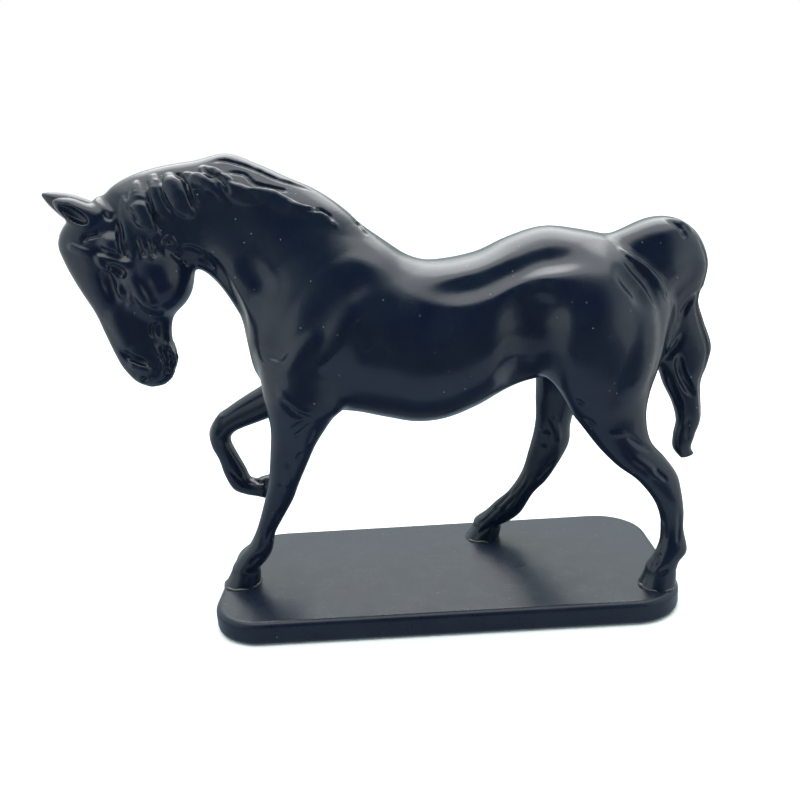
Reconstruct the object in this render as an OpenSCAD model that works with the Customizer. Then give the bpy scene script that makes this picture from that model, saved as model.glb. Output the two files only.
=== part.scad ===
// Walking horse statuette in polished black stone, on a slab plinth.
// The origin is at the centre of the plinth's underside. +X runs towards the tail, -X towards
// the head, -Y is the horse's left (near) side, +Y its right (off) side, and +Z is up.

/* [Plinth] */
// Length of the plinth, along the horse
plinth_l = 190; // [186:1:230]
// Width of the plinth, across the horse
plinth_w = 85; // [84:1:110]
// Thickness of the plinth
plinth_h = 10; // [9:0.5:16]
// Radius of the plinth's four corners, seen from above
corner_r = 21; // [12:1:30]
// Radius of the plinth's top and bottom edges
edge_r = 2.5; // [1:0.5:4]

/* [Horse] */
// Height of the withers above the plinth
withers_h = 142; // [120:1:144]
// Sides of each cross-section of the body and legs
sides = 20; // [12:2:32]
// Cross-sections made from each one that is given
steps = 2; // [1:1:4]

/* [Joints] */
// Diameter of the steel rods and dowels that join the pieces
rod_d = 2.4; // [2:0.2:3]
// Depth of each rod's socket in the plinth
socket_depth = 7; // [4:0.5:7]
// Length of each rod above the plinth, inside the hoof
rod_reach = 8; // [4:0.5:9]
// Clearance around a rod in its socket
rod_gap = 0.15; // [0.05:0.05:0.3]
// Width of the adhesive bead around each standing hoof
bead_w = 1.2; // [0.6:0.1:2]

/* [Hidden] */

stone = [0.07, 0.08, 0.09];
steel = [0.62, 0.63, 0.65];
resin = [0.16, 0.17, 0.18];

// The horse is set out at a withers height of 142 mm, with z = 0 on the plinth's top.
set_out_withers = 142;
k = withers_h / set_out_withers;
bore_r = rod_d / 2 + rod_gap;
hoof_r = 7;
hoof_rise = 8;
sole = 0.6;

// Centre of each standing hoof on the plinth's top
near_fore_hoof = [-86.5, -7];
near_hind_hoof = [86, -28];
off_hind_hoof = [20, 25];

// Each cross-section below is [x, z of its upper or front edge, x, z of its lower or back edge,
// y of its centre, half of its width].
trunk_rings = [
    [-72, 108, -71.5, 91, 0, 8],
    [-66, 122, -66, 80, 0, 16],
    [-58, 133, -58, 76, 0, 20],
    [-46, 141, -47, 74, 0, 23],
    [-32, 144, -33, 72.5, 0, 24.5],
    [-20, 141, -20, 69.3, 0, 25.5],
    [-8, 134, -8, 66.8, 0, 26.5],
    [4, 132.2, 4, 67.5, 0, 27],
    [18, 133.8, 17, 72, 0, 26.5],
    [32, 140, 30, 78.5, 0, 25.5],
    [46, 142.6, 42, 82, 0, 26],
    [60, 140.6, 56, 84, 0, 26],
    [74, 136.5, 70, 88, 0, 23],
    [86, 129, 83, 93, 0, 18],
    [93.5, 118, 91.5, 101, 0, 11]
];

neck_rings = [
    [-18, 140, -56, 84, 0, 21],
    [-30, 149, -68, 96, 0, 19],
    [-41, 157, -73, 108, 0, 16.5],
    [-52, 163, -76, 117, 0, 14.5],
    [-63, 169, -80, 125.5, 0, 13],
    [-74, 172.5, -85.5, 132, -1, 12],
    [-86, 173, -91, 135.2, -2, 11.5],
    [-98, 172, -95.5, 136, -3, 11.5],
    [-109, 170, -99, 138, -4, 11],
    [-119, 165, -104, 141, -5, 10]
];

head_rings = [
    [-124, 163, -102, 146, -5, 9],
    [-135, 157, -96, 141, -5.5, 12],
    [-140.5, 149, -93.5, 135.5, -6, 13],
    [-139.3, 141, -93.7, 131, -6, 13],
    [-135.5, 131, -96.5, 125.5, -6, 11],
    [-131, 121, -100.5, 119, -6, 9],
    [-128.3, 112, -103, 111.5, -6, 7.6],
    [-125.8, 104, -103, 104, -6, 7],
    [-123.3, 98, -103, 98.5, -6, 6.8],
    [-119, 92.2, -104.6, 92.8, -6, 5.8],
    [-114, 89.6, -108, 90, -6, 3]
];

near_fore_rings = [
    [-66, 100, -36, 88, -13, 9],
    [-66, 84, -37.5, 78, -13.5, 8.5],
    [-65.5, 74, -42, 73, -13, 7.6],
    [-67.2, 63, -48.8, 63, -12, 6.4],
    [-68.8, 53, -54, 53, -11, 5.6],
    [-70.5, 45, -58, 45, -10, 5.6],
    [-72.8, 38, -61.2, 38, -9, 5],
    [-76, 29, -66.8, 29, -8.5, 4],
    [-78.6, 23, -70.3, 23, -8, 3.9],
    [-81.6, 18, -72.3, 15.5, -8, 4.6],
    [-86, 13.2, -75, 11, -7.5, 4.8],
    [-91, 9, -78.6, 7.5, -7, 5.6]
];

near_hind_rings = [
    [40, 118, 86, 114, -12, 12],
    [41, 100, 88, 98, -15, 12],
    [44, 88, 86, 88, -17.5, 11.5],
    [50, 76, 82.4, 78, -20, 9.8],
    [56.5, 67, 81, 69, -22, 8],
    [63, 58, 82.5, 59.5, -23.5, 6.6],
    [69.5, 51, 88, 52.5, -25, 6],
    [77, 45, 92.3, 46, -26, 5.6],
    [83, 37.5, 93.9, 39.5, -26.5, 4.8],
    [86, 31, 94.9, 31.5, -27, 4],
    [87, 24, 95.3, 23, -27, 3.8],
    [86.4, 17.5, 96.6, 14.5, -27.5, 4.6],
    [84, 12.5, 93.6, 10.5, -28, 4.8],
    [80.2, 8, 92.4, 7, -28, 5.6]
];

off_hind_rings = [
    [46, 112, 88, 108, 12, 12],
    [43.5, 92, 84, 92, 14.5, 12],
    [44, 80, 74, 82, 17, 10],
    [45.3, 70, 66.5, 72, 18.5, 8],
    [45.8, 60, 62, 61, 20, 6.6],
    [45, 52, 60.3, 54, 21, 6],
    [42.5, 42, 59.3, 44, 22, 5.4],
    [39.3, 31.6, 50.9, 29.2, 23, 4.2],
    [33.5, 22.7, 43.7, 21.5, 23.5, 3.9],
    [27, 17, 38, 12.5, 24, 4.6],
    [22.4, 12.6, 33, 8.5, 24.5, 4.8],
    [16.2, 8.6, 28.6, 6.4, 25, 5.6]
];

raised_foreleg_rings = [
    [-56, 90, -52, 76, 12, 8],
    [-64, 87, -60, 71, 13, 7.6],
    [-73.2, 81.7, -68.7, 68.5, 13.5, 6.8],
    [-81.3, 77.3, -77.7, 65.6, 14, 6],
    [-88, 73.3, -83.5, 63.8, 14, 5.5],
    [-93.5, 69.5, -87, 62.3, 14, 5.4],
    [-97.8, 63.5, -89.3, 60, 14, 5.2],
    [-97.8, 56.5, -89.6, 57, 14, 4.6],
    [-95.3, 49.5, -87.3, 51, 14, 4],
    [-93.6, 42, -84.6, 44.7, 14, 3.9],
    [-90.5, 35.5, -83, 40.2, 14, 4.4],
    [-85, 32.7, -80, 39.2, 14, 4.4],
    [-80, 31.5, -77, 40, 14, 4.8]
];

tail_rings = [
    [72, 135, 82, 114, 0, 7.5],
    [78, 140.5, 88, 118, 0, 8.5],
    [88, 143.7, 91, 121, 0, 9],
    [98, 143.8, 93, 121, 0, 9.2],
    [106, 138, 95, 118, 0, 9],
    [111, 127, 96, 114, 0, 8.5],
    [110.2, 118, 92, 110, 0, 7.2],
    [108, 110, 91, 104, 0, 6.5],
    [110.5, 101, 88.5, 97, 0, 6.5],
    [114, 91, 88.8, 89, 0, 6.8],
    [112.8, 83, 92.8, 82.5, 0, 6.2],
    [110.6, 76, 95.2, 75.5, 0, 5.4],
    [111.2, 68, 99.2, 67.5, 0, 4.8],
    [111.5, 60, 101.6, 59.5, 0, 4.3],
    [109.2, 53.5, 100.9, 53, 0, 3.8],
    [107.2, 47.5, 100.8, 47, 0, 3.2],
    [106.9, 43.8, 103.4, 43.4, 0, 1.8]
];

// Each ear runs from its base to its tip; its y is counted from the head's middle.
head_y = -6;
ear_offset = 6.5;
ear_rings = [
    [-121, 160, -130, 152.5, 0, 3.6],
    [-129.5, 163.3, -134, 156.3, 0, 4],
    [-135.5, 164.9, -137.5, 159, 0, 3],
    [-140.5, 165.8, -141.2, 162.3, 0, 1.8],
    [-143.5, 165.8, -143.4, 164.6, 0, 0.6]
];

// The mane runs over the crest from the poll to the withers.
mane_rings = [
    [-121, 167.5, -117, 158, -5, 6],
    [-110, 171.5, -107, 160, -4, 8],
    [-98, 173, -96, 160, -3.5, 9],
    [-88, 173.6, -86, 161, -3, 9.5],
    [-79, 176, -80, 163, -2.5, 10],
    [-69, 174.8, -72, 161, -2, 10],
    [-59, 169.5, -64, 157, -2, 9.5],
    [-48, 164.8, -53, 153, -1.5, 9],
    [-37, 160, -43, 149, -1.5, 8],
    [-28, 152.8, -34, 143, -1, 7],
    [-20, 144, -24, 137, -1, 5]
];

// Each lock hangs on the near side: x, z of its root, x, z of its tip, and its root's radius.
mane_locks = [
    [-113, 163, -101, 143.5, 4.2],
    [-106, 166, -97, 151, 3.8],
    [-98, 167, -92, 152, 4],
    [-91, 167, -83, 156, 4],
    [-83, 169, -71, 161.5, 4.2],
    [-73, 168, -60, 160, 4.2],
    [-63, 163, -50, 155.5, 4],
    [-52, 158, -38, 149.5, 3.8],
    [-42, 153, -27, 143, 3.4]
];
lock_tip_r = 1.2;

// Muscles that stand out from the body: x, z, distance from the middle, and the three radii.
muscles = [
    [-38, 112, 10, 17, 15, 29],
    [-52, 92, 11, 13, 12, 15],
    [62, 108, 12, 22, 15, 28]
];

// Each dowel's middle, and the direction in the x-z plane that it points in, in degrees.
foreleg_dowel_at = [-66, 13, 78];
foreleg_dowel_pitch = 68;
tail_dowel_at = [87, 0, 127];
tail_dowel_pitch = 62;
dowel_l = 20;

// A point on the smooth curve from b to c, where a and d are the points on either side of them
function curve(a, b, c, d, t) =
    0.5 * (2 * b + (c - a) * t + (2 * a - 5 * b + 4 * c - d) * t * t
           + (3 * b - a - 3 * c + d) * t * t * t);

// The given cross-sections with more between them
function filled(rings, m) = [
    for (i = [0 : len(rings) - 2], j = [0 : m - 1])
        curve(rings[max(i - 1, 0)], rings[i], rings[i + 1],
              rings[min(i + 2, len(rings) - 1)], j / m),
    rings[len(rings) - 1]
];

// The n points of one elliptical cross-section
function ring_points(r, n) = [
    for (i = [0 : n - 1])
        let (a = 360 * i / n)
        [(r[0] + r[2]) / 2 + (r[0] - r[2]) / 2 * cos(a),
         r[4] + r[5] * sin(a),
         (r[1] + r[3]) / 2 + (r[1] - r[3]) / 2 * cos(a)]
];

// True when the cross-sections turn clockwise, seen along the way that they run
function runs_clockwise(a, b) =
    cross([a[0] - a[2], 0, a[1] - a[3]], [0, 1, 0])
    * [b[0] + b[2] - a[0] - a[2], 0, b[1] + b[3] - a[1] - a[3]] > 0;

// A closed skin through all the cross-sections
module skin(rings, n = sides, m = steps) {
    all_rings = filled(rings, m);
    last = len(all_rings) - 1;
    turned = runs_clockwise(all_rings[0], all_rings[1]);
    strip = [
        for (r = [0 : last - 1], i = [0 : n - 1])
            let (a = r * n + i, b = r * n + (i + 1) % n)
            each [[a, b, b + n], [a, b + n, a + n]]
    ];
    ends = [[for (i = [n - 1 : -1 : 0]) i], [for (i = [0 : n - 1]) last * n + i]];
    faces = concat(strip, ends);
    polyhedron(
        points = [for (r = all_rings) each ring_points(r, n)],
        faces = turned ? [for (f = faces) [for (i = [len(f) - 1 : -1 : 0]) f[i]]] : faces
    );
}

// Puts what is set out on z = 0 onto the plinth, at the horse's size
module on_plinth() {
    translate([0, 0, plinth_h]) scale(k) children();
}

// Half of the plinth's upright section, from its inside out to its rounded edge
module edge_section(reach) {
    square([reach - edge_r, plinth_h]);
    translate([0, edge_r]) square([reach, plinth_h - 2 * edge_r]);
    for (z = [edge_r, plinth_h - edge_r])
        translate([reach - edge_r, z]) circle(r = edge_r, $fn = 32);
}

// One side of the plinth between two corners, as long as run
module edge_bar(run) {
    rotate([90, 0, 0]) linear_extrude(run, center = true) edge_section(corner_r);
}

module plinth_slab() {
    dx = plinth_l / 2 - corner_r;
    dy = plinth_w / 2 - corner_r;
    translate([-dx, -dy, 0]) cube([2 * dx, 2 * dy, plinth_h]);
    for (sx = [-1, 1], sy = [-1, 1])
        translate([sx * dx, sy * dy, 0]) rotate_extrude($fn = 64) edge_section(corner_r);
    translate([dx, 0, 0]) edge_bar(2 * dy);
    translate([-dx, 0, 0]) rotate([0, 0, 180]) edge_bar(2 * dy);
    translate([0, dy, 0]) rotate([0, 0, 90]) edge_bar(2 * dx);
    translate([0, -dy, 0]) rotate([0, 0, -90]) edge_bar(2 * dx);
}

// A steel rod between the plinth and the hoof at the given place
module leg_rod(at, grow = 0) {
    translate([at.x * k, at.y * k, plinth_h - socket_depth - grow])
        cylinder(r = rod_d / 2 + grow, h = socket_depth + rod_reach + 2 * grow, $fn = 32);
}

module dowel(at, pitch, grow = 0) {
    translate([at.x * k, at.y * k, at.z * k + plinth_h]) rotate([0, pitch, 0])
        cylinder(r = rod_d / 2 + grow, h = dowel_l + 2 * grow, center = true, $fn = 32);
}

// A hoof on the plinth, from its sole up to the coronet at the leg's last cross-section
module standing_hoof(at, last_ring) {
    top = [(last_ring[0] + last_ring[2]) / 2, last_ring[4]];
    half = (last_ring[2] - last_ring[0]) / 2;
    hull() {
        translate([at.x, at.y, 0]) cylinder(r = hoof_r, h = sole, $fn = 28);
        translate([top.x, top.y, hoof_rise - sole])
            scale([half, last_ring[5], 1]) cylinder(r = 1, h = sole, $fn = 28);
    }
}

module muscle(m, side) {
    translate([m[0], side * m[2], m[1]]) scale([m[3], m[4], m[5]]) sphere(r = 1, $fn = 20);
}

module mane_lock(l) {
    root_y = -8;
    tip_y = -11.5;
    hull() {
        translate([l[0], root_y, l[1]]) sphere(r = l[4], $fn = 12);
        translate([l[2], tip_y, l[3]]) sphere(r = lock_tip_r, $fn = 10);
    }
}

// A fold of hair on the tail, from a to b, standing out by r
module tail_fold(a, b, r) {
    hull() {
        translate(a) sphere(r = r, $fn = 10);
        translate(b) sphere(r = r * 0.5, $fn = 10);
    }
}

module horse_form() {
    on_plinth() {
        skin(trunk_rings);
        skin(neck_rings);
        skin(head_rings);
        skin(mane_rings, 14);
        for (side = [-1, 1]) {
            for (m = muscles) muscle(m, side);
            translate([0, head_y + side * ear_offset, 0]) skin(ear_rings, 12);
        }
        skin(near_fore_rings, 16);
        skin(near_hind_rings, 16);
        skin(off_hind_rings, 16);
        standing_hoof(near_fore_hoof, near_fore_rings[len(near_fore_rings) - 1]);
        standing_hoof(near_hind_hoof, near_hind_rings[len(near_hind_rings) - 1]);
        standing_hoof(off_hind_hoof, off_hind_rings[len(off_hind_rings) - 1]);
        for (l = mane_locks) mane_lock(l);
    }
}

module raised_foreleg_form() {
    sole_at = [-67.5, 14, 35];
    sole_pitch = 82;
    on_plinth() {
        skin(raised_foreleg_rings, 16);
        hull() {
            translate(sole_at) rotate([0, sole_pitch, 0])
                cylinder(r = hoof_r - 0.4, h = sole, center = true, $fn = 28);
            translate(sole_at - [hoof_rise + 2, 0, -0.8]) rotate([0, sole_pitch, 0])
                cylinder(r = hoof_r - 2, h = sole, center = true, $fn = 28);
        }
    }
}

module tail_form() {
    on_plinth() {
        skin(tail_rings, 18);
        for (side = [-1, 1]) {
            tail_fold([92, side * 7, 128], [101, side * 5.5, 112], 3);
            tail_fold([102, side * 7, 132], [106, side * 5, 114], 3);
            tail_fold([101, side * 4.5, 101], [98, side * 5, 86], 2.6);
            tail_fold([108, side * 4, 96], [104, side * 3.5, 76], 2.4);
        }
    }
}

module plinth() {
    color(stone) difference() {
        plinth_slab();
        leg_rod(near_fore_hoof, rod_gap);
        leg_rod(near_hind_hoof, rod_gap);
        leg_rod(off_hind_hoof, rod_gap);
    }
}

module horse_body() {
    color(stone) difference() {
        horse_form();
        leg_rod(near_fore_hoof, rod_gap);
        leg_rod(near_hind_hoof, rod_gap);
        leg_rod(off_hind_hoof, rod_gap);
        dowel(foreleg_dowel_at, foreleg_dowel_pitch, rod_gap);
        dowel(tail_dowel_at, tail_dowel_pitch, rod_gap);
    }
}

module raised_foreleg() {
    color(stone) difference() {
        raised_foreleg_form();
        horse_form();
        dowel(foreleg_dowel_at, foreleg_dowel_pitch, rod_gap);
    }
}

module tail() {
    color(stone) difference() {
        tail_form();
        horse_form();
        dowel(tail_dowel_at, tail_dowel_pitch, rod_gap);
    }
}

module near_fore_rod() {
    color(steel) leg_rod(near_fore_hoof);
}

module near_hind_rod() {
    color(steel) leg_rod(near_hind_hoof);
}

module off_hind_rod() {
    color(steel) leg_rod(off_hind_hoof);
}

module foreleg_dowel() {
    color(steel) dowel(foreleg_dowel_at, foreleg_dowel_pitch);
}

module tail_dowel() {
    color(steel) dowel(tail_dowel_at, tail_dowel_pitch);
}

// Three beads of adhesive, each in the corner between a hoof and the plinth
module hoof_beads() {
    color(resin) for (at = [near_fore_hoof, near_hind_hoof, off_hind_hoof])
        translate([at.x * k, at.y * k, plinth_h]) rotate_extrude($fn = 48)
            translate([hoof_r * k, 0]) polygon([[0, 0], [bead_w, 0], [0, bead_w * 0.8]]);
}

plinth();
horse_body();
raised_foreleg();
tail();
near_fore_rod();
near_hind_rod();
off_hind_rod();
foreleg_dowel();
tail_dowel();
hoof_beads();
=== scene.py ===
"""Walking horse in polished black jade on its plinth: the visual model and its studio.

The sculpture is set out in millimetres of the CAD horse, whose crest is CREST_HEIGHT above the plinth,
with x along the horse (head towards -x), y across it (near side towards -y) and z up from the plinth.
"""

import math

import bpy
import numpy as np
import openvdb
from mathutils import Matrix, Vector


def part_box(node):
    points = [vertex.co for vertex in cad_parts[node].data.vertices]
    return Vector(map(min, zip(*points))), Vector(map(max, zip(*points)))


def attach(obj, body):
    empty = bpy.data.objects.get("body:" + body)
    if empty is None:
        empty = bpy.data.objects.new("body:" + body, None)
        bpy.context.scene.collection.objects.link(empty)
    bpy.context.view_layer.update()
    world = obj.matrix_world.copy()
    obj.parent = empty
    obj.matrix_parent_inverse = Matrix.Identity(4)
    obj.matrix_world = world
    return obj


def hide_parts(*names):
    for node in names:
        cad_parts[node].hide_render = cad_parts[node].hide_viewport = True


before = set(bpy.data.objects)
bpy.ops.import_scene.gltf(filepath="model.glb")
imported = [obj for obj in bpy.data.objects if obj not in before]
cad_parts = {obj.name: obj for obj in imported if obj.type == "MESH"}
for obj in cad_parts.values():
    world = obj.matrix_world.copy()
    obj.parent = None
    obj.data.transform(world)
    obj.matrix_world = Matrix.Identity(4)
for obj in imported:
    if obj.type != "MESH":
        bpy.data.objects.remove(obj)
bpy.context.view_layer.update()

# Where the sculpture stands, in metres, and the metres in one of its millimetres
CREST_HEIGHT = 176
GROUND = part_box("plinth")[1].z
UNIT = (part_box("horse_body")[1].z - GROUND) / CREST_HEIGHT

# The clay's cell, how far from a surface its distances are known, and that in cells
CELL = 0.5
REACH = 6.3
BAND = round(REACH / CELL)
RELAX_ROUNDS = 6

# The near side of the horse and the off side
BOTH_SIDES = (-1, 1)

# How finely a skin is drawn
RING_POINTS = 120
RINGS_BETWEEN = 8

# How far two joined pieces run under each other, and how deep
LAP = 0.9
SINK = 0.3

# The adhesive bead's mean size, and how finely it is drawn
BEAD_SIZE = 0.65
BEAD_POINTS = 72
BEAD_SIDES = 10
BEAD_FOOT = -0.2


# ---------------------------------------------------------------- outlines and curves

def curve(points, between):
    """The given rows of numbers with more between them, on a smooth curve through all of them."""
    rows = np.asarray(points, float)
    padded = np.vstack([rows[:1], rows, rows[-1:]])
    t = np.linspace(0, 1, between, endpoint=False)[:, None]
    out = []
    for i in range(len(rows) - 1):
        a, b, c, d = padded[i:i + 4]
        out.append(0.5 * (2 * b + (c - a) * t + (2 * a - 5 * b + 4 * c - d) * t ** 2
                          + (3 * b - a - 3 * c + d) * t ** 3))
    return np.vstack(out + [rows[-1:]])


def skin(rings, fullness=2.0, turn=0.0):
    """Points and quads of a closed skin through rings of x, z, x, z, y, half width.

    A fullness of 2 gives elliptical sections, and more makes them squarer. The front of each
    section is moved towards the near side by turn for each unit of its length.
    """
    rows = curve(rings, RINGS_BETWEEN)
    angle = np.linspace(0, 2 * math.pi, RING_POINTS, endpoint=False)
    power = 2 / fullness
    along = np.sign(np.cos(angle)) * np.abs(np.cos(angle)) ** power
    across = np.sign(np.sin(angle)) * np.abs(np.sin(angle)) ** power
    front_x, front_z, back_x, back_z, middle_y, half_wide = (rows[:, [n]] for n in range(6))
    x = (front_x + back_x) / 2 + (front_x - back_x) / 2 * along
    z = (front_z + back_z) / 2 + (front_z - back_z) / 2 * along
    y = middle_y + half_wide * across
    y = y + turn * (x - x.mean(1, keepdims=True))
    points = np.stack([x, y, z], 2).reshape(-1, 3)
    ring = np.arange(len(rows) - 1)[:, None] * RING_POINTS
    a = ring + np.arange(RING_POINTS)
    b = ring + (np.arange(RING_POINTS) + 1) % RING_POINTS
    quads = np.stack([a, b, b + RING_POINTS, a + RING_POINTS], 2).reshape(-1, 4)
    first = np.arange(RING_POINTS)
    last = first + (len(rows) - 1) * RING_POINTS
    centres = np.vstack([points[first].mean(0), points[last].mean(0)])
    hub = len(points)
    caps = [np.stack([np.full(RING_POINTS, hub + n), np.roll(edge, -1), edge], 1)
            for n, edge in enumerate((first, last))]
    return np.vstack([points, centres]), quads, np.vstack(caps)


def smooth_min(a, b, soft):
    """The smaller of two distances, with a fillet about soft wide where they meet."""
    if soft <= 0:
        return np.minimum(a, b)
    near = np.maximum(soft - np.abs(a - b), 0) / soft
    return np.minimum(a, b) - near * near * soft * 0.25


# ---------------------------------------------------------------- the clay

class Clay:
    """A block of signed distances that shapes are added to, cut from and drawn on."""

    def __init__(self, low, high):
        self.start = np.floor(np.array(low) / CELL).astype(int)
        size = np.ceil(np.array(high) / CELL).astype(int) - self.start + 1
        self.field = np.full(size, BAND * CELL, np.float32)

    def window(self, low, high):
        """Slices of the block between two corners, and the x, y and z of its cells."""
        size = np.array(self.field.shape)
        a = np.clip(np.floor(np.array(low) / CELL).astype(int) - self.start, 0, size)
        b = np.clip(np.ceil(np.array(high) / CELL).astype(int) + 1 - self.start, 0, size)
        axes = [((np.arange(a[n], b[n]) + self.start[n]) * CELL).astype(np.float32) for n in range(3)]
        x, y, z = np.meshgrid(*axes, indexing="ij", sparse=True)
        return tuple(slice(a[n], b[n]) for n in range(3)), x, y, z

    def merge(self, where, distance, soft, cut=False):
        """Adds a shape's distances to the cells of where, or cuts the shape away."""
        old = self.field[where]
        if cut:
            self.field[where] = -smooth_min(-old, distance, soft)
        else:
            self.field[where] = smooth_min(old, distance, soft)

    def add_skin(self, rings, soft, fullness=2.0, turn=0.0):
        """Adds the closed skin through rings, with a fillet about soft wide."""
        points, quads, triangles = skin(rings, fullness, turn)
        grid = openvdb.FloatGrid.createLevelSetFromPolygons(
            points.astype(np.float32), triangles=triangles.astype(np.uint32),
            quads=quads.astype(np.uint32),
            transform=openvdb.createLinearTransform(CELL), halfWidth=BAND)
        solid = np.empty(self.field.shape, np.float32)
        grid.copyToArray(solid, ijk=tuple(int(v) for v in self.start))
        self.field = smooth_min(self.field, solid, soft)

    def ball(self, at, radii, soft, tilt=0, cut=False):
        """An ellipsoid, tilted by tilt degrees from x towards z."""
        reach = max(radii) + soft + BAND * CELL
        low, high = np.array(at) - reach, np.array(at) + reach
        where, x, y, z = self.window(low, high)
        c, s = math.cos(math.radians(tilt)), math.sin(math.radians(tilt))
        u = (x - at[0]) * c + (z - at[2]) * s
        w = -(x - at[0]) * s + (z - at[2]) * c
        v = y - at[1]
        outer = np.sqrt((u / radii[0]) ** 2 + (v / radii[1]) ** 2 + (w / radii[2]) ** 2)
        inner = np.sqrt((u / radii[0] ** 2) ** 2 + (v / radii[1] ** 2) ** 2 + (w / radii[2] ** 2) ** 2)
        self.merge(where, outer * (outer - 1) / np.maximum(inner, 1e-6), soft, cut)

    def rope(self, points, radii, soft, cut=False, thin=1.0):
        """A rope through 3-D points, whose radius follows radii from end to end.

        A rope that is more than 1 thin is that many times narrower across the horse.
        """
        radius = np.interp(np.linspace(0, 1, len(points)), np.linspace(0, 1, len(radii)), radii)
        reach = max(radii) + soft + 2 * CELL
        where, x, y, z = self.window(points.min(0) - reach, points.max(0) + reach)
        best = None
        for a, b, ra, rb in zip(points[:-1], points[1:], radius[:-1], radius[1:]):
            d = b - a
            length = max(float(d[0] ** 2 + d[1] ** 2 * thin ** 2 + d[2] ** 2), 1e-6)
            px, py, pz = x - a[0], (y - a[1]) * thin, z - a[2]
            t = np.clip((px * d[0] + py * d[1] * thin + pz * d[2]) / length, 0, 1)
            gap = np.sqrt((px - t * d[0]) ** 2 + (py - t * d[1] * thin) ** 2 + (pz - t * d[2]) ** 2)
            gap = gap - (ra + t * (rb - ra))
            best = gap if best is None else np.minimum(best, gap)
        self.merge(where, best, soft, cut)

    def skin_point(self, x, z, side):
        """The surface point at x, z from the near side (-1) or the off side (1), and its normal.

        It is None where that side has no surface.
        """
        i, k = (int(round(v / CELL)) - int(self.start[n]) for n, v in ((0, x), (2, z)))
        if not (0 < i < self.field.shape[0] - 1 and 0 < k < self.field.shape[2] - 1):
            return None
        column = self.field[i, ::-side, k]
        j = int(np.argmax(column < 0))
        if j < 2:
            return None
        step = j - 1 + column[j - 1] / (column[j - 1] - column[j])
        row = int(round(len(column) - 1 - step if side > 0 else step))
        row = min(max(row, 1), len(column) - 2)
        around = self.field[i - 1:i + 2, row - 1:row + 2, k - 1:k + 2]
        normal = np.array([around[2, 1, 1] - around[0, 1, 1], around[1, 2, 1] - around[1, 0, 1],
                           around[1, 1, 2] - around[1, 1, 0]])
        depth = len(column) - 1 - step if side > 0 else step
        point = np.array([x, (depth + self.start[1]) * CELL, z])
        return point, normal / max(np.linalg.norm(normal), 1e-6)

    def stroke(self, outline, radius, depth, sides, soft, fade=0.3):
        """Draws along side-view x, z points: a groove of the given depth, or a ridge if it is negative.

        The stroke rises to nothing over the first and last fade of its length.
        """
        flat = curve(outline, 4)
        along = np.linspace(0, 1, len(flat))
        full = np.clip(np.minimum(along, 1 - along) / max(fade, 1e-6), 0, 1)
        full = full * full * (3 - 2 * full)
        for side in sides:
            line = []
            for (x, z), share in zip(flat, full):
                found = self.skin_point(x, z, side)
                if found is None:
                    continue
                point, normal = found
                reach = radius - abs(depth) * share + soft * (1 - share)
                line.append(point + normal * reach * (1 if depth > 0 else -1))
            if len(line) > 1:
                self.rope(np.array(line), [radius], soft, depth > 0)

    def lock(self, outline, radii, sides, lift, thin, soft):
        """A flattened lock of hair lying on the surface along side-view x, z points."""
        for side in sides:
            found = [self.skin_point(x, z, side) for x, z in curve(outline, 4)]
            line = [f[0] + f[1] * lift for f in found if f is not None]
            if len(line) > 1:
                self.rope(np.array(line), radii, soft, False, thin)

    def dot(self, x, z, radius, depth, sides, soft):
        """A dimple of the given depth at side-view x, z, or a bump if depth is negative."""
        for side in sides:
            found = self.skin_point(x, z, side)
            if found is not None:
                point, normal = found
                at = point + normal * (radius - abs(depth)) * (1 if depth > 0 else -1)
                self.ball(at, (radius, radius, radius), soft, 0, depth > 0)

    def ring(self, x, z, around, radius, height, sides=(-1,)):
        """A raised ring on the surface, as a casting blemish leaves."""
        turn = np.linspace(0, 2 * math.pi, 9)
        outline = [(x + around * math.cos(t), z + around * math.sin(t)) for t in turn]
        self.stroke(outline, radius, -height, sides, 0.3, 0.0)

    def mesh(self, name):
        """The clay's surface as an object."""
        grid = openvdb.FloatGrid(BAND * CELL)
        grid.copyFromArray(self.field, ijk=tuple(int(v) for v in self.start), tolerance=0)
        grid.transform = openvdb.createLinearTransform(CELL)
        points, quads = grid.convertToQuads(0.0)
        quads = quads.astype(np.int64)
        points, quads = largest_piece(points.astype(float), quads)
        return make_object(name, relax(points, quads, RELAX_ROUNDS), quads.tolist())


def make_object(name, points, faces):
    """Points in the sculpture's millimetres as a smooth-shaded object in metres, in the row frame."""
    me = bpy.data.meshes.new(name)
    me.from_pydata((points * UNIT + np.array([0, 0, GROUND])).tolist(), [], faces)
    me.shade_smooth()
    ob = bpy.data.objects.new(name, me)
    bpy.context.scene.collection.objects.link(ob)
    return ob


def edges_of(quads):
    """Each edge of the quads once, as a pair of points."""
    pairs = np.vstack([quads[:, [n, (n + 1) % 4]] for n in range(4)])
    return np.unique(np.sort(pairs, 1), axis=0)


def largest_piece(points, quads):
    """Only the biggest connected piece of a quad mesh, so that no loose crumbs are left."""
    label = np.arange(len(points))
    edges = edges_of(quads)
    while True:
        low = np.minimum(label[edges[:, 0]], label[edges[:, 1]])
        new = label.copy()
        np.minimum.at(new, edges[:, 0], low)
        np.minimum.at(new, edges[:, 1], low)
        new = new[new]
        if np.array_equal(new, label):
            break
        label = new
    names, counts = np.unique(label, return_counts=True)
    keep = label == names[counts.argmax()]
    order = np.cumsum(keep) - 1
    return points[keep], order[quads[keep[quads[:, 0]]]]


def relax(points, quads, rounds):
    """Evens out the small steps that the cells leave, without shrinking the form."""
    edges = edges_of(quads)
    both = np.concatenate([edges[:, 0], edges[:, 1]])
    other = np.concatenate([edges[:, 1], edges[:, 0]])
    count = np.bincount(both, minlength=len(points))[:, None]
    for step in (0.5, -0.52) * rounds:
        total = np.stack([np.bincount(both, points[other, n], len(points)) for n in range(3)], 1)
        points = points + step * (total / count - points)
    return points


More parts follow.
